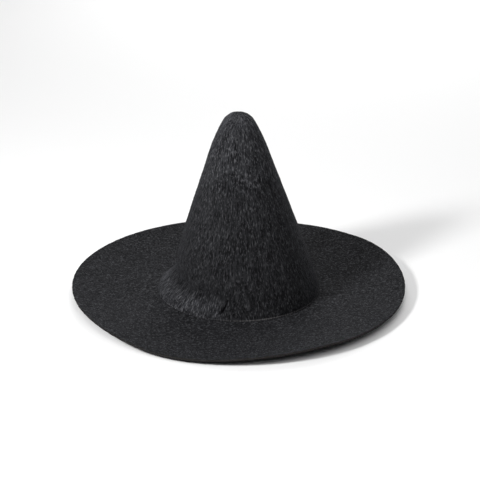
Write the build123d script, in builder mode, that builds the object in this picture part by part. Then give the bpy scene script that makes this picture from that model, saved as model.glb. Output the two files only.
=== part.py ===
"""Miniature felt witch hat, such as is sold for dolls, bottles and craft work.

Three pieces: a moulded felt crown, a die-cut felt brim, and the ring of glue between them.
Millimetres, +Z up, front towards -Y. The origin is at the centre of the hat, on the surface
that it stands on.
"""

from build123d import *
from math import cos, radians, sin, tan
import os

# ---- driving dimensions ----
hat_height = 71.0
brim_diameter = 127.0  # five inches
foot_diameter = 62.0  # outer edge of the crown's turned-out foot
mouth_diameter = 55.0  # hole in the brim, where the hat goes on

crown_felt = 1.0  # thickness of the moulded crown
brim_felt = 0.8  # thickness of the die-cut brim
glue_film = 0.2  # between the crown's foot and the brim

cone_half_angle = 19.1  # degrees, between the lower part of the crown's side and its axis
shoulder_radius = 84.0  # the side's slight curve inwards, above the straight part
shoulder_half_angle = 28.4  # degrees, where that curve meets the rounded tip
tip_radius = 6.6  # outside of the rounded tip
foot_bend_radius = 0.6  # outside of the bend between the crown's side and its foot

stand_diameter = 70.0  # the brim is flat out to here, and the hat stands on this ring
brim_rise = 3.0  # clearance under the brim's edge
cut_edge_radius = 0.2  # softness of the cut edges of the felt

glue_inner_diameter = 56.6
glue_outer_diameter = 61.0
glue_bead_height = 0.6  # how far the glue is squeezed up inside the crown


def point_on_arc(centre, radius, angle):
    """The point of a circle at an angle in degrees from the horizontal, as (x, z)."""
    return centre[0] + radius * cos(radians(angle)), centre[1] + radius * sin(radians(angle))


# ---- worked out from them ----
glue_top = brim_felt + glue_film
foot_top = glue_top + crown_felt
tip_centre = (0, hat_height - tip_radius)
tip_tangent = point_on_arc(tip_centre, tip_radius, shoulder_half_angle)
shoulder_centre = point_on_arc(tip_tangent, -shoulder_radius, shoulder_half_angle)
side_top = point_on_arc(shoulder_centre, shoulder_radius, cone_half_angle)
side_foot = side_top[0] + (side_top[1] - foot_top) * tan(radians(cone_half_angle))

os.makedirs("parts", exist_ok=True)


def finish(piece, name):
    """Label a finished piece and write it to parts/."""
    piece.part.label = name
    export_step(piece.part, f"parts/{name}.step")


def level_circles(piece):
    """The piece's circular edges that go round its axis, smallest first."""
    return piece.edges().filter_by(GeomType.CIRCLE).filter_by(Plane.XY).sort_by(SortBy.RADIUS)


# ---- crown: a cone of moulded felt that rounds off to its tip, turned out at its foot ----
with BuildPart() as crown:
    with BuildSketch(Plane.XZ):
        with BuildLine():
            with BuildLine() as outside:
                Polyline((foot_diameter / 2, foot_top), (side_foot, foot_top), side_top)
                bend = outside.vertices().sort_by_distance((side_foot, foot_top))[0]
                fillet(bend, foot_bend_radius)
                shoulder_turn = shoulder_half_angle - cone_half_angle
                CenterArc(shoulder_centre, shoulder_radius, cone_half_angle, shoulder_turn)
                CenterArc(tip_centre, tip_radius, shoulder_half_angle, 90 - shoulder_half_angle)
            offset(amount=crown_felt, side=Side.LEFT)
        make_face()
    revolve(axis=Axis.Z)
    fillet(level_circles(crown)[-2:], cut_edge_radius)

finish(crown, "crown")

# ---- brim: a die-cut ring of felt, flat where it stands and gently dished outside that ----
with BuildPart() as brim:
    with BuildSketch(Plane.XZ):
        with BuildLine():
            with BuildLine():
                flat = Line((mouth_diameter / 2, 0), (stand_diameter / 2, 0))
                TangentArc(flat @ 1, (brim_diameter / 2, brim_rise), tangent=flat % 1)
            offset(amount=brim_felt, side=Side.LEFT)
        make_face()
    revolve(axis=Axis.Z)
    cut_edges = level_circles(brim)
    fillet(cut_edges[:2] + cut_edges[-2:], cut_edge_radius)

finish(brim, "brim")

# ---- glue ring: a thin film on the brim, squeezed up a little inside the crown's foot ----
with BuildPart() as glue_ring:
    with BuildSketch(Plane.XY.offset(brim_felt)):
        Circle(glue_outer_diameter / 2)
        Circle(glue_inner_diameter / 2, mode=Mode.SUBTRACT)
    extrude(amount=glue_bead_height)
    add(crown.part, mode=Mode.SUBTRACT)

finish(glue_ring, "glue_ring")
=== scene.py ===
import itertools
from math import cos, pi, radians, sin, tan

import bpy
import numpy as np
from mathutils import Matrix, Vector


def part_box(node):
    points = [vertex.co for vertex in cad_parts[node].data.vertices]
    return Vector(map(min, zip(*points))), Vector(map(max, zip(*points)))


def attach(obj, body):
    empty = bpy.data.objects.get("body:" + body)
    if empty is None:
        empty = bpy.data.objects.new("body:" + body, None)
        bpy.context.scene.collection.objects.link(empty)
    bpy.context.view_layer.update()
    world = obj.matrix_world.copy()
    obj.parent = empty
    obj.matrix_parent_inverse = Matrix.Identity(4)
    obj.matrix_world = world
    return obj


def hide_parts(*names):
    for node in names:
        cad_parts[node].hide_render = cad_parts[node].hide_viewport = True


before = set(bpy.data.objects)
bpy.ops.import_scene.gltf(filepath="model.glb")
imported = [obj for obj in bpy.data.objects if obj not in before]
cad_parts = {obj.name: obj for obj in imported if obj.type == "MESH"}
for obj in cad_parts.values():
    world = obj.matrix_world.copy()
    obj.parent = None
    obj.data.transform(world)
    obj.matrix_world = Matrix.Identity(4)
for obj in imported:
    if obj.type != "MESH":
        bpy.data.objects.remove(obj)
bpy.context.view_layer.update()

# Lengths are in millimetres, in the CAD's frame, up to where a mesh is made: +Z up, front towards
# -Y. The blank, the floor, the lamps and the camera are in metres. A turn is an angle in degrees
# seen from above, clockwise from the front, so that 0 is the front, 90 the left side, 180 the back
# and 270 the right side.
MM = 0.001


def node_box(node):
    """A CAD node's lowest and highest corners, in millimetres."""
    low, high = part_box(node)
    return Vector(low) / MM, Vector(high) / MM


# ---- sizes, from the CAD nodes ----
crown_low, crown_high = node_box("crown")
_, brim_high = node_box("brim")
glue_low, _ = node_box("glue_ring")

hat_height = crown_high.z
foot_radius = crown_high.x
foot_under = crown_low.z
brim_radius = brim_high.x
brim_felt = glue_low.z
brim_edge_top = brim_high.z
# sizes that no node's box shows, the same as in the CAD
crown_felt = 1.0
mouth_radius = 27.5
stand_radius = 35.0
glue_inner = 28.3
foot_top = foot_under + crown_felt

# the crown's outer line, as in the CAD: a straight side, a long shoulder curve and a round tip
cone_half_angle = 19.1
shoulder_radius = 84.0
shoulder_half_angle = 28.4
tip_radius = 6.6
side_slope = tan(radians(cone_half_angle))


def point_on_arc(centre, radius, angle):
    """The point of a circle at an angle in degrees from the horizontal, as (radius, height)."""
    return centre[0] + radius * cos(radians(angle)), centre[1] + radius * sin(radians(angle))


tip_centre = (0, hat_height - tip_radius)
tip_tangent = point_on_arc(tip_centre, tip_radius, shoulder_half_angle)
shoulder_centre = point_on_arc(tip_tangent, -shoulder_radius, shoulder_half_angle)
side_top = point_on_arc(shoulder_centre, shoulder_radius, cone_half_angle)
side_foot = side_top[0] + (side_top[1] - foot_top) * side_slope

# The crown leans a little to its left as it rises, from a foot that sits a little to the right.
lean_at_foot = 1.69
lean_per_mm = 0.027


# ---- small tools ----
def smoothstep(low, high, x):
    t = np.clip((x - low) / (high - low), 0.0, 1.0)
    return t * t * (3.0 - 2.0 * t)


def bump(x, centre, width):
    """A bell of height 1."""
    return np.exp(-(((x - centre) / width) ** 2))


def turn_bump(turn, centre, width):
    """A bell of height 1 round the hat, in degrees."""
    return bump((turn - centre + 180.0) % 360.0, 180.0, width)


def gradient_noise(points, seed):
    """Perlin noise, about -1 to 1, at an array of points whose last axis is x, y, z."""
    random = np.random.default_rng(seed)
    order = np.tile(random.permutation(256), 3)
    gradients = random.normal(size=(256, 3))
    gradients /= np.linalg.norm(gradients, axis=1, keepdims=True)
    cell = np.floor(points).astype(int)
    inside = points - cell
    fade = inside**3 * (inside * (inside * 6 - 15) + 10)
    total = np.zeros(points.shape[:-1])
    for corner in itertools.product((0, 1), repeat=3):
        at = (cell + corner) & 255
        pick = order[order[order[at[..., 0]] + at[..., 1]] + at[..., 2]]
        weight = np.prod(np.where(corner, fade, 1 - fade), axis=-1)
        total += weight * np.sum(gradients[pick] * (inside - corner), axis=-1)
    return 1.6 * total


def turn_angles(turn):
    """A turn in degrees as (cosine, sine) of the angle about +Z from +X."""
    angle = np.radians(-90.0 - turn)
    return np.cos(angle), np.sin(angle)


def grid_normals(points):
    """Outward unit normals of a grid whose rows go up and whose columns go once round."""
    along = np.gradient(points, axis=0)
    across = np.roll(points, -1, axis=1) - np.roll(points, 1, axis=1)
    normal = np.cross(along, across)
    length = np.linalg.norm(normal, axis=2, keepdims=True)
    return normal / np.maximum(length, 1e-9)


def mesh_object(name, points, faces):
    """A smooth-shaded Blender object from points in millimetres."""
    mesh = bpy.data.meshes.new(name)
    mesh.from_pydata((np.asarray(points) * MM).tolist(), [], faces)
    mesh.validate()
    mesh.polygons.foreach_set("use_smooth", [True] * len(mesh.polygons))
    piece = bpy.data.objects.new(name, mesh)
    bpy.context.scene.collection.objects.link(piece)
    return piece


def ring(radius, height, turn):
    """The points of level rings round the axis at the given turns, one ring for each radius."""
    side, front = turn_angles(turn)
    return np.stack([radius * side, radius * front, height + 0 * radius * side], axis=-1)


def ring_faces(first, second, count):
    """The quads between two rings of count points, given the index of each ring's first point."""
    return [
        (first + i, first + (i + 1) % count, second + (i + 1) % count, second + i)
        for i in range(count)
    ]


def joined_rings(rings, closed):
    """The quads from each ring to the next, and from the last to the first if closed."""
    count = len(rings[0])
    faces = []
    for i in range(len(rings) if closed else len(rings) - 1):
        faces += ring_faces(i * count, (i + 1) % len(rings) * count, count)
    return faces


# ---- crown ----
# The crown's left side is pushed in above its foot, so that the foot flares out below a soft
# crease. The crease starts at a wrinkle near the front and runs round the left to the back.
crown_columns = 420
rim_height = foot_under + 0.42  # where the foot's cut edge ends and its top begins
edge_bevel = 0.12  # how far in the cut edge is at its top and bottom
foot_clearance = 0.03  # how far the foot's underside is above its place in the CAD
side_start = foot_top + 0.35
nap = 0.17  # how far the fibres stand proud of the moulded surface
# the foot's rows, as shares of the way from its edge to the bottom of the wall
foot_shares = (0.0, 0.12, 0.28, 0.45, 0.62, 0.78, 0.9)
# the inner skin has every third of the side's rows up to this one, and every fifth above it
inner_fine_rows = 52


def crease_height(turn):
    return 8.8 - 1.3 * bump(turn, 10, 14) - 2.8 * smoothstep(100, 165, turn)


def crease_depth(turn):
    """How far the crown's side is pushed in at the crease."""
    return 2.45 + 0.15 * smoothstep(30, 80, turn)


def crease_share(turn):
    return smoothstep(10, 19, turn) * (1 - smoothstep(120, 170, turn))


def foot_edge(turn):
    """Radius of the foot's cut edge, which is trimmed closer at the front."""
    return foot_radius - 0.55 * bump(turn, 0, 50) - 0.1


def smooth_maximum(first, second, softness):
    return (first + second + np.sqrt((first - second) ** 2 + softness**2)) / 2


def lean(height):
    """How far to the right of the axis the crown's middle is."""
    return lean_at_foot - lean_per_mm * (height - foot_top)


def crown_outside(radius, height, turn):
    """Distance of the outer surface from the crown's middle, where it is designed to be radius."""
    side, _ = turn_angles(turn)
    crease = crease_height(turn)
    depth = crease_depth(turn)
    reach = 3.4 + 2.0 * smoothstep(45, 80, turn)
    side_wall = radius - depth * np.exp(-np.maximum(height - crease, 0) / reach)
    crease_radius = side_foot - (crease - foot_top) * side_slope - depth
    flare_foot = foot_edge(turn) - 0.15 - lean_at_foot * side
    flare = crease_radius + (flare_foot - crease_radius) * (crease - height) / (crease - foot_top)
    creased = smooth_maximum(side_wall, flare, 0.6)
    right_tuck = 0.5 * np.maximum(side, 0) ** 2 * np.exp(-np.maximum(height - foot_top, 0) / 7)
    plain = radius - right_tuck
    return plain + (creased - plain) * crease_share(turn)


def wrinkle(turn, height):
    """The small folds at the front end of the crease: a groove, a dimple and soft ridges."""
    path = 10.4 + 0.11 * np.maximum(10.9 - height, 0) ** 1.9
    reach = smoothstep(2.2, 3.6, height) * (1 - smoothstep(6.2, 9.5, height))
    groove = -1.7 * bump(turn, path, 1.05) * reach
    tail = -0.70 * bump(turn, 15.0, 2.4) * bump(height, 6.9 - 0.12 * (turn - 15.0), 0.75)
    roll = 0.20 * bump(turn, path - 2.8, 2.2) * reach
    ridge = 0.90 * bump(turn, path + 3.4, 2.0) * bump(height, 5.6, 1.9)
    dimple = -0.60 * bump(turn, 21.5, 3.2) * bump(height, 3.6, 1.1)
    fold = -0.30 * bump(turn, 11.0, 2.0) * bump(height, 15.0, 6.0)
    second = -0.28 * bump(turn, -1.5, 1.8) * bump(height, 5.5, 3.5)
    return groove + tail + roll + ridge + dimple + fold + second


def crown_rows():
    """The designed outer line above the foot, as rows of (radius, height)."""
    rows = []
    for height in side_start + (side_top[1] - side_start) * np.linspace(0, 1, 116) ** 1.3:
        rows.append((side_top[0] + (side_top[1] - height) * side_slope, height))
    for angle in np.linspace(cone_half_angle, shoulder_half_angle, 26)[1:]:
        rows.append(point_on_arc(shoulder_centre, shoulder_radius, angle))
    for angle in np.linspace(shoulder_half_angle, 88.5, 22)[1:]:
        rows.append(point_on_arc(tip_centre, tip_radius, angle))
    return np.array(rows)


def crown_turns():
    """Columns round the crown, closer together where the wrinkle is."""
    even = np.linspace(-180, 180, 3601)
    crowding = np.cumsum(1 + 1.8 * turn_bump(even, 15, 24))
    steps = crowding[0] + (crowding[-1] - crowding[0]) * np.arange(crown_columns) / crown_columns
    return np.interp(steps, crowding, even)


def crown_side(rows, turn, folded):
    """Points of the crown's side and tip, rows by turns. folded is the wrinkle's share."""
    radius, height = rows[:, 0, None], rows[:, 1, None]
    side, front = turn_angles(turn[None, :])
    body = crown_outside(radius, height, turn[None, :])
    body = body + folded * wrinkle(turn[None, :], height)
    return np.stack([lean(height) + body * side, body * front, height + 0 * side], axis=-1)


def crown_foot(edge, wall):
    """Rows from the foot's edge to the bottom of the wall, rising late and then steeply."""
    rows = []
    for share in foot_shares:
        row = edge + (wall - edge) * share
        row[:, 2] = edge[:, 2] + (wall[:, 2] - edge[:, 2]) * share**1.7
        rows.append(row)
    return np.array(rows)


def crown_relief(points):
    """Unevenness of moulded felt, in millimetres: broad waves, drawn-out bands and small tufts."""
    flat = points[..., :2]
    around = flat / np.maximum(np.linalg.norm(flat, axis=-1, keepdims=True), 0.5)
    # the waves, bands and streaks are read as if the crown were a tube, so that they run up it
    tube_radius = 20.0
    even = np.concatenate([tube_radius * around, points[..., 2:]], axis=-1)
    waves = 0.16 * gradient_noise(even / (13.0, 13.0, 22.0), 11)
    bands = 0.10 * gradient_noise(even / (3.2, 3.2, 14.0), 12)
    streaks = 0.09 * gradient_noise(even / (1.3, 1.3, 5.0), 13)
    tufts = 0.07 * gradient_noise(points / (0.9, 0.9, 1.4), 14)
    return waves + bands + streaks + tufts


def outer_skin(rows, turn):
    """The crown's outside, from the foot's cut edge up, with its wrinkle and relief."""
    side = crown_side(rows, turn, 1.0)
    rim = ring(foot_edge(turn) - edge_bevel, rim_height, turn)
    outer = np.concatenate([crown_foot(rim, side[0]), side])
    fade = 0.35 + 0.65 * smoothstep(foot_top - 0.3, foot_top + 2.0, outer[..., 2])
    return outer + ((crown_relief(outer) + nap) * fade)[..., None] * grid_normals(outer)


def inner_skin(rows, turn):
    """The crown's inside, one felt's thickness in, with fewer rows and no wrinkle."""
    plain = crown_side(rows, turn, 0.0)
    pucker = 0.10 * gradient_noise(plain / (2.2, 2.2, 4.0), 21)
    inner = plain - (crown_felt + pucker[..., None]) * grid_normals(plain)
    last = len(rows) - 1
    return inner[[*range(0, inner_fine_rows, 3), *range(inner_fine_rows, last, 5), last]]


def foot_underside(turn):
    """Rings down the foot's cut edge and in under it, as far as the bead of glue."""
    edge = foot_edge(turn)
    low = foot_under + foot_clearance
    return [
        ring(edge, foot_under + 0.2, turn),
        ring(edge - edge_bevel, low, turn),
        ring(glue_inner + 0.3, low, turn),
    ]


def make_crown():
    turn = crown_turns()
    rows = crown_rows()
    outer = outer_skin(rows, turn)
    inner = inner_skin(rows, turn)
    # outside from the tip down, round the foot's cut edge, and up the inside
    rings = [*outer[::-1], *foot_underside(turn), *inner]
    faces = joined_rings(rings, closed=False)
    # each skin closes on a point at the tip
    tips = np.array([outer[-1].mean(axis=0), inner[-1].mean(axis=0)])
    outer_tip = len(rings) * crown_columns
    last = outer_tip - crown_columns
    for i in range(crown_columns):
        after = (i + 1) % crown_columns
        faces.append((outer_tip, after, i))
        faces.append((outer_tip + 1, last + i, last + after))
    piece = mesh_object("felt_crown", np.concatenate([*rings, tips]), faces)
    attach(piece, "root")
    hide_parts("crown")
    return piece


# ---- glue ----
bead_columns = 360
bead_swell = 0.45  # how far the bead bulges inwards, where it is of usual thickness
bead_rise = 0.55  # how high it stands there
bead_reach = 1.0  # how far it goes in between the foot and the brim


def make_glue():
    """The dried bead that was squeezed up inside the crown's foot, of uneven width and height."""
    turn = np.arange(bead_columns) * 360.0 / bead_columns - 180.0
    circle = ring(1.0, 0.0, turn)
    thick = 1 + 0.5 * gradient_noise(circle * 5.0, 41) + 0.25 * gradient_noise(circle * 17.0, 42)
    thick = np.clip(thick, 0.25, 1.5)
    rings = [ring(glue_inner + bead_reach, brim_felt - 0.1, turn)]
    for angle in np.linspace(270, 90, 9):
        swell = cos(radians(angle)) * bead_swell * thick
        rise = (sin(radians(angle)) * 0.5 + 0.5) * bead_rise * thick
        rings.append(ring(glue_inner + 0.1 + swell, brim_felt - 0.05 + rise, turn))
    rings.append(ring(glue_inner + bead_reach, brim_felt + 0.25, turn))
    piece = mesh_object("glue_bead", np.concatenate(rings), joined_rings(rings, closed=True))
    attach(piece, "root")
    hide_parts("glue_ring")
    return piece


# ---- brim ----
brim_columns = 800
brim_top_rows = 88
brim_under_rows = 14
brim_softness = 0.2  # how far the felt's edges are rounded
brim_rise = brim_edge_top - brim_felt
dish_radius = ((brim_radius - stand_radius) ** 2 + brim_rise**2) / (2 * brim_rise)
# the brim's outline gets ragged from this radius out, over this width
ragged_start = 55.0
ragged_width = 8.5


def brim_warp(radius, turn):
    """How far the brim stands above its designed height, from handling."""
    out = np.clip((radius - stand_radius) / (brim_radius - stand_radius), 0, 1)
    left = 2.2 * turn_bump(turn, 45, 147) - 1.1
    dip = -2.8 * turn_bump(turn, 23, 24.5)
    right_back = 2.4 * turn_bump(turn, -118, 30)
    right_front = 0.5 * turn_bump(turn, -29, 10.3)
    return (left + dip + right_back + right_front) * out**1.6


def brim_section():
    """The brim's section, as rows of (radius, height above its underside, share of the tufts)."""
    inner, outer = mouth_radius + brim_softness, brim_radius - brim_softness
    low, high = brim_softness, brim_felt - brim_softness
    rows = [(radius, brim_felt, 1) for radius in np.linspace(inner, outer, brim_top_rows)]
    rows += [(brim_radius, high, 0), (brim_radius, low, 0)]
    rows += [(radius, 0, 0) for radius in np.linspace(outer, inner, brim_under_rows)]
    rows += [(mouth_radius, low, 0), (mouth_radius, high, 0)]
    return np.array(rows)


def brim_rings(section, turn):
    """The section carried round the hat: dished, warped, and uneven as felt is."""
    radius, level, tufted = section[:, 0, None], section[:, 1, None], section[:, 2, None]
    side, front = turn_angles(turn)
    flat = ring(radius, 0.0, turn)
    out = np.maximum(radius - stand_radius, 0)
    dish = dish_radius - np.sqrt(dish_radius**2 - out**2)
    waves = 0.16 * gradient_noise(flat / 26.0, 31) * np.clip(out / 8.0, 0, 1)
    # the underside never goes below the ground
    height = np.maximum(dish + brim_warp(radius, turn) + waves, 0) + level
    beside_foot = 0.2 * bump(radius, foot_radius - 1.0, 2.4)
    tufts = 0.07 * gradient_noise(flat / 5.0, 34) + 0.05 * gradient_noise(flat / 1.7, 35)
    tufts = tufts + 0.04 * gradient_noise(flat / 0.9, 36)
    height = height + tufted * (beside_foot + tufts)
    ragged = 0.10 * gradient_noise(flat / 2.6, 32) + 0.06 * gradient_noise(flat / 0.9, 33)
    spread = radius + ragged * np.clip((radius - ragged_start) / ragged_width, 0, 1)
    return np.stack([spread * side, spread * front, height], axis=-1)


def make_brim():
    turn = np.arange(brim_columns) * 360.0 / brim_columns - 180.0
    rings = brim_rings(brim_section(), turn)
    piece = mesh_object("felt_brim", np.concatenate(rings), joined_rings(rings, closed=True))
    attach(piece, "root")
    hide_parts("brim")
    return piece


# ---- materials ----
felt_bump = 0.9
felt_bump_depth = 0.30
felt_constants = {
    "Specular IOR Level": 0.10,
    "Sheen Weight": 0.034,
    "Sheen Roughness": 0.45,
    "Sheen Tint": (0.75, 0.78, 0.90, 1.0),
}
# colours of the felt: between fibres, on fibres, on stray fibres and on cut edges; the crown's cut-edge
# colour is also a painted highlight
crown_dark = (0.0020, 0.0020, 0.0024)
crown_light = (0.0174, 0.0178, 0.0197)
crown_fleck = (0.0528, 0.0530, 0.0571)
# the crown's cut edge is paler felt, and this colour also paints a highlight along the foot
crown_edge_and_highlight = (0.1100, 0.1080, 0.1100)
brim_dark = (0.0012, 0.0012, 0.0014)
brim_light = (0.0108, 0.0110, 0.0123)
brim_fleck = (0.0506, 0.0509, 0.0551)
brim_edge = (0.0207, 0.0186, 0.0172)
# colours of the glue, where it is clear and where it is cloudy
glue_clear = (0.34, 0.27, 0.16)
glue_cloudy = (0.62, 0.56, 0.42)


class Graph:
    """A material's nodes, each made, set and joined up in one call."""

    def __init__(self, name):
        self.material = bpy.data.materials.new(name)
        self.material.use_nodes = True
        self.tree = self.material.node_tree
        self.shader = self.tree.nodes["Principled BSDF"]

    def set(self, socket, value):
        if isinstance(value, bpy.types.NodeSocket):
            self.tree.links.new(value, socket)
        else:
            socket.default_value = value

    def node(self, kind, settings, inputs, output=0):
        node = self.tree.nodes.new("ShaderNode" + kind)
        for name, value in settings.items():
            setattr(node, name, value)
        for name, value in inputs.items():
            self.set(node.inputs[name], value)
        return node.outputs[output]

    def math(self, operation, first, second=0.0):
        return self.node("Math", {"operation": operation}, {0: first, 1: second})

    def vector(self, operation, first, second):
        return self.node("VectorMath", {"operation": operation}, {0: first, 1: second})

    def ramp(self, value, low, high, to_low=0.0, to_high=1.0):
        """A smooth step from to_low to to_high as value goes from low to high."""
        inputs = {"Value": value, "From Min": low, "From Max": high, "To Min": to_low, "To Max": to_high}
        return self.node("MapRange", {"interpolation_type": "SMOOTHSTEP"}, inputs)

    def mix(self, share, first, second):
        return self.node("Mix", {"data_type": "FLOAT"}, {0: share, 2: first, 3: second})

    def blend(self, share, first, second):
        """A mix of two colours."""
        settings = {"data_type": "RGBA"}
        return self.node("Mix", settings, {0: share, 6: first, 7: second}, 2)

    def noise(self, where, grain, detail=2.0, roughness=0.5, distortion=0.0, seed=0.0):
        """Noise whose lumps are about grain millimetres across, each way."""
        scaled = self.vector("DIVIDE", where, grain)
        moved = self.vector("ADD", scaled, (seed * 17.3, seed * 5.9, seed * 11.1))
        inputs = {"Vector": moved, "Scale": 1.0, "Detail": detail, "Roughness": roughness}
        inputs["Distortion"] = distortion
        return self.node("TexNoise", {}, inputs)

    def mix_noise(self, share, first, second):
        """A mix of two noises that keeps its contrast half way, where a plain mix would fade."""
        rest = self.math("SUBTRACT", 1.0, share)
        squares = self.math("ADD", self.math("POWER", share, 2.0), self.math("POWER", rest, 2.0))
        off = self.math("SUBTRACT", self.mix(share, first, second), 0.5)
        return self.math("ADD", self.math("DIVIDE", off, self.math("SQRT", squares)), 0.5)

    def ridges(self, value, width):
        """1 along the winding lines where a noise passes through its middle, 0 away from them."""
        off = self.math("ABSOLUTE", self.math("SUBTRACT", value, 0.5))
        return self.ramp(off, width, 0.0)


def millimetres(graph):
    """The place of the shaded point in millimetres, and its x, y and z."""
    place = graph.node("TexCoord", {}, {}, 3)
    scaled = graph.vector("MULTIPLY", place, (1000.0, 1000.0, 1000.0))
    parts = graph.node("SeparateXYZ", {}, {0: scaled}, 0).node.outputs
    return scaled, parts


def rounded(graph, parts, radius):
    """The place as if the crown were a tube of one radius, so that a pattern has no seam."""
    flat = graph.node("CombineXYZ", {}, {0: parts[0], 1: parts[1], 2: 0.0})
    length = graph.node("VectorMath", {"operation": "LENGTH"}, {0: flat}, 1)
    scale = graph.math("DIVIDE", radius, graph.math("MAXIMUM", length, 0.5))
    x = graph.math("MULTIPLY", parts[0], scale)
    y = graph.math("MULTIPLY", parts[1], scale)
    return graph.node("CombineXYZ", {}, {0: x, 1: y, 2: parts[2]})


def felt_shader(graph, tone, relief, edge, flecks, felt, painted_light=1.0):
    """Felt: tone and relief are 0 to 1, edge is 1 on a cut edge, flecks is 1 on a stray fibre, and the
    last argument scales the colour with painted light.
    """
    dark, light, fleck_colour, edge_colour = felt
    colour = graph.blend(tone, (*dark, 1), (*light, 1))
    colour = graph.blend(flecks, colour, (*fleck_colour, 1))
    colour = graph.node("VectorMath", {"operation": "SCALE"}, {0: colour, "Scale": painted_light})
    colour = graph.blend(edge, colour, (*edge_colour, 1))
    bump_node = {"Height": relief, "Strength": felt_bump, "Distance": felt_bump_depth * MM}
    normal = graph.node("Bump", {}, bump_node)
    graph.set(graph.shader.inputs["Base Color"], colour)
    graph.set(graph.shader.inputs["Normal"], normal)
    graph.set(graph.shader.inputs["Roughness"], graph.ramp(tone, 0.0, 1.0, 1.0, 0.82))
    for name, value in felt_constants.items():
        graph.shader.inputs[name].default_value = value
    return graph.material


def felt_tone(graph, fine, broad, blotch, lines):
    """How light the felt is, 0 to 1: fine fibres, broader clumps or bands, and faint patches."""
    tone = graph.ramp(fine, 0.41, 0.60, 0.0, 0.80)
    tone = graph.math("ADD", tone, graph.ramp(broad, 0.3, 0.7, -0.06, 0.10))
    tone = graph.math("ADD", tone, graph.ramp(blotch, 0.3, 0.7, -0.06, 0.10))
    return graph.math("ADD", tone, graph.math("MULTIPLY", lines, 0.20))


def felt_relief(graph, fine, lines, flecks):
    relief = graph.math("MULTIPLY", fine, 0.9)
    relief = graph.math("ADD", relief, graph.math("MULTIPLY", lines, 0.12))
    return graph.math("ADD", relief, graph.math("MULTIPLY", flecks, 0.25))


def crown_layer(graph, where, number):
    """The drawn-out fibres round one radius: noises for strands, bands, specks and lines."""
    strands = graph.noise(where, (0.46, 0.46, 3.0), 4.0, 0.80, 0.35, number)
    bands = graph.noise(where, (2.2, 2.2, 11.0), 2.0, 0.5, 0.2, number + 10)
    specks = graph.noise(where, (0.36, 0.36, 1.30), 2.0, 0.6, 0.3, number + 20)
    winding = graph.noise(where, (0.9, 0.9, 5.0), 1.0, 0.5, 0.7, number + 30)
    return strands, bands, specks, winding


def crown_fibres(graph, parts):
    """The noises of a crown layer, each blended from layers that fit the foot, middle and top."""
    height = parts[2]
    layers = []
    for number, radius in enumerate((27.0, 17.0, 9.0)):
        layers.append(crown_layer(graph, rounded(graph, parts, radius), number))
    low = graph.ramp(height, 30.0, 16.0)
    high = graph.ramp(height, 38.0, 52.0)
    mixed = []
    for foot, middle, top in zip(*layers):
        lower = graph.mix_noise(low, middle, foot)
        mixed.append(graph.mix_noise(high, lower, top))
    return mixed


def crown_painted_light(graph, parts):
    """Painted light, as a scale on the colour: lighter towards the tip, with painted highlights on the
    cap and on the flared lip at the left.
    """
    height = parts[2]
    # painted light: the felt is made lighter up the crown, where the lamps above fall nearer
    rise = graph.ramp(height, 30.0, 72.0, 0.0, 0.9)
    # a painted highlight on the cap
    cap = graph.ramp(height, hat_height - 5.0, hat_height - 1.5, 0.0, 0.9)
    # a painted highlight on the flared lip at the left, which faces the key lamp
    lip = graph.math("MULTIPLY", graph.ramp(height, 8.0, 5.0), graph.ramp(parts[0], -5.0, -10.0))
    painted_light = graph.math("ADD", graph.math("ADD", rise, cap), graph.math("MULTIPLY", lip, 0.95))
    return graph.math("ADD", painted_light, 1.0)


def crown_cut_edge_and_highlight(graph, parts, specks):
    """1 on the foot's cut edge, whose paler colour also holds a painted highlight, and broken up by
    specks.
    """
    edge = graph.ramp(parts[2], rim_height + 0.22, rim_height + 0.05, 0.0, 0.9)
    # the painted highlight is strong at the front and the right, where the edge stands clear, and faint
    # at the left, where it is pressed into the brim
    edge = graph.math("MULTIPLY", edge, graph.ramp(parts[0], -13.0, 14.0, 0.1, 1.0))
    return graph.math("MULTIPLY", edge, graph.ramp(specks, 0.38, 0.58, 0.25, 1.0))


def crown_felt_material():
    """Felt stretched over a cone: fibres drawn out up the side, shorter at the tip, with painted light
    that lightens it towards the tip.
    """
    graph = Graph("crown_felt")
    place, parts = millimetres(graph)
    strands, bands, specks, winding = crown_fibres(graph, parts)
    lines = graph.ridges(winding, 0.045)
    tangle = graph.noise(place, (0.70, 0.70, 0.90), 4.0, 0.78, 0.5, 41)
    # the fibres are short and tangled at the tip, and partly so on the foot
    tip = graph.ramp(parts[2], 64.0, 68.5)
    foot = graph.ramp(parts[2], 9.0, 3.5)
    short = graph.math("MAXIMUM", tip, graph.math("MULTIPLY", foot, 0.6))
    fine = graph.mix_noise(short, strands, tangle)
    blotch = graph.noise(place, (7.0, 7.0, 9.0), 2.0, 0.5, 0.0, 43)
    tone = felt_tone(graph, fine, bands, blotch, lines)
    flecks = graph.ramp(specks, 0.52, 0.66, 0.0, 0.80)
    relief = felt_relief(graph, fine, lines, flecks)
    edge = crown_cut_edge_and_highlight(graph, parts, specks)
    felt = (crown_dark, crown_light, crown_fleck, crown_edge_and_highlight)
    return felt_shader(graph, tone, relief, edge, flecks, felt, crown_painted_light(graph, parts))


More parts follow.
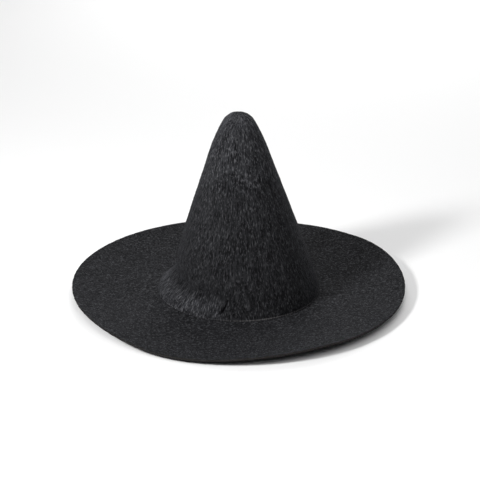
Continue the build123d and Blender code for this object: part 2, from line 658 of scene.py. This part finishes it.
def brim_felt_material():
    """Flat felt: short tangled fibres lying every way, with a few long ones among them."""
    graph = Graph("brim_felt")
    place, parts = millimetres(graph)
    tangle = graph.noise(place, (1.10, 1.10, 1.10), 4.0, 0.85, 0.6, 51)
    clumps = graph.noise(place, (3.2, 3.2, 3.2), 2.0, 0.5, 0.3, 52)
    blotch = graph.noise(place, (13.0, 13.0, 13.0), 2.0, 0.5, 0.0, 53)
    specks = graph.noise(place, (0.72, 0.72, 0.72), 2.0, 0.7, 0.4, 54)
    short = graph.ridges(graph.noise(place, (1.6, 1.6, 1.6), 1.0, 0.5, 1.4, 55), 0.03)
    long = graph.ridges(graph.noise(place, (5.0, 5.0, 5.0), 1.0, 0.5, 0.8, 56), 0.008)
    tone = felt_tone(graph, tangle, clumps, blotch, short)
    speckle = graph.ramp(specks, 0.52, 0.64, 0.0, 0.85)
    flecks = graph.math("MAXIMUM", speckle, graph.math("MULTIPLY", long, 0.35))
    relief = felt_relief(graph, tangle, short, flecks)
    flat = graph.node("CombineXYZ", {}, {0: parts[0], 1: parts[1], 2: 0.0})
    radius = graph.node("VectorMath", {"operation": "LENGTH"}, {0: flat}, 1)
    edge = graph.ramp(radius, brim_radius - 0.25, brim_radius - 0.05, 0.0, 0.7)
    felt = (brim_dark, brim_light, brim_fleck, brim_edge)
    return felt_shader(graph, tone, relief, edge, flecks, felt)


def glue_material():
    """Dried hot-melt glue: cloudy, slightly yellow and a little glossy."""
    graph = Graph("glue")
    place, _ = millimetres(graph)
    cloud = graph.noise(place, (1.4, 1.4, 0.8), 3.0, 0.6, 0.3, 61)
    ripple = graph.noise(place, (0.7, 0.7, 0.7), 2.0, 0.5, 0.0, 62)
    colour = graph.blend(cloud, (*glue_clear, 1), (*glue_cloudy, 1))
    normal = graph.node("Bump", {}, {"Height": ripple, "Strength": 0.5, "Distance": 0.2 * MM})
    graph.set(graph.shader.inputs["Base Color"], colour)
    graph.set(graph.shader.inputs["Normal"], normal)
    graph.set(graph.shader.inputs["Roughness"], graph.ramp(cloud, 0.3, 0.7, 0.28, 0.45))
    return graph.material


def plain_material(name, colour, roughness):
    graph = Graph(name)
    graph.set(graph.shader.inputs["Base Color"], (*colour, 1))
    graph.set(graph.shader.inputs["Roughness"], roughness)
    return graph.material


# ---- stage, lights and camera ----
paper_white = 0.88
sky_strength = 0.06
floor_size = 8.0
floor_gap = 0.00002  # how far the floor is below the hat, so that their faces don't meet
# each lamp's name, turn, elevation in degrees, distance and size in metres, and power in watts
lamps = (
    ("key", 51, 34, 0.45, 0.07, 1.92),
    ("back", 183, 30, 0.70, 0.45, 2.13),
    ("back_right", 211, 47, 0.70, 0.35, 1.13),
    ("front", 0, 52, 0.70, 0.50, 2.08),
    ("fill", 305, 50, 0.70, 0.40, 0.50),
)
camera_elevation = 25.0  # in degrees
camera_distance = 0.525
camera_aim = Vector((0.0005, 0, 0.0206))
camera_sensor = 36.0  # in millimetres, as is the lens
camera_lens = 102.3


def make_stage():
    bpy.ops.mesh.primitive_plane_add(size=floor_size, location=(0, 0, -floor_gap))
    floor = bpy.context.object
    floor.name = "floor"
    floor.data.materials.append(plain_material("paper", (paper_white, paper_white, paper_white), 0.9))
    world = bpy.data.worlds.new("studio")
    bpy.context.scene.world = world
    world.use_nodes = True
    sky = world.node_tree.nodes["Background"]
    sky.inputs["Color"].default_value = (1, 1, 1, 1)
    sky.inputs["Strength"].default_value = sky_strength


def area_light(name, turn, elevation, distance, size, power):
    """A square soft light, aimed at the hat."""
    light = bpy.data.lights.new(name, "AREA")
    light.size = size
    light.energy = power
    lamp = bpy.data.objects.new(name, light)
    bpy.context.scene.collection.objects.link(lamp)
    side, front = turn_angles(turn)
    flat = cos(radians(elevation))
    direction = Vector((side * flat, front * flat, sin(radians(elevation))))
    lamp.location = Vector((0, 0, hat_height * MM / 3)) + direction * distance
    lamp.rotation_euler = (-direction).to_track_quat("-Z", "Y").to_euler()
    lamp.visible_camera = False


def make_camera():
    """Looks down on the hat from the front, from about half a metre."""
    camera = bpy.data.cameras.new("camera")
    camera.sensor_width = camera_sensor
    camera.lens = camera_lens
    eye = bpy.data.objects.new("camera", camera)
    bpy.context.scene.collection.objects.link(eye)
    back, up = cos(radians(camera_elevation)), sin(radians(camera_elevation))
    eye.location = (0, -camera_distance * back, camera_distance * up)
    eye.rotation_euler = (camera_aim - eye.location).to_track_quat("-Z", "Y").to_euler()
    bpy.context.scene.camera = eye


make_camera()
make_stage()
for lamp in lamps:
    area_light(*lamp)
bpy.context.scene.view_settings.view_transform = "Standard"

crown = make_crown()
brim = make_brim()
glue = make_glue()
crown.data.materials.append(crown_felt_material())
brim.data.materials.append(brim_felt_material())
glue.data.materials.append(glue_material())
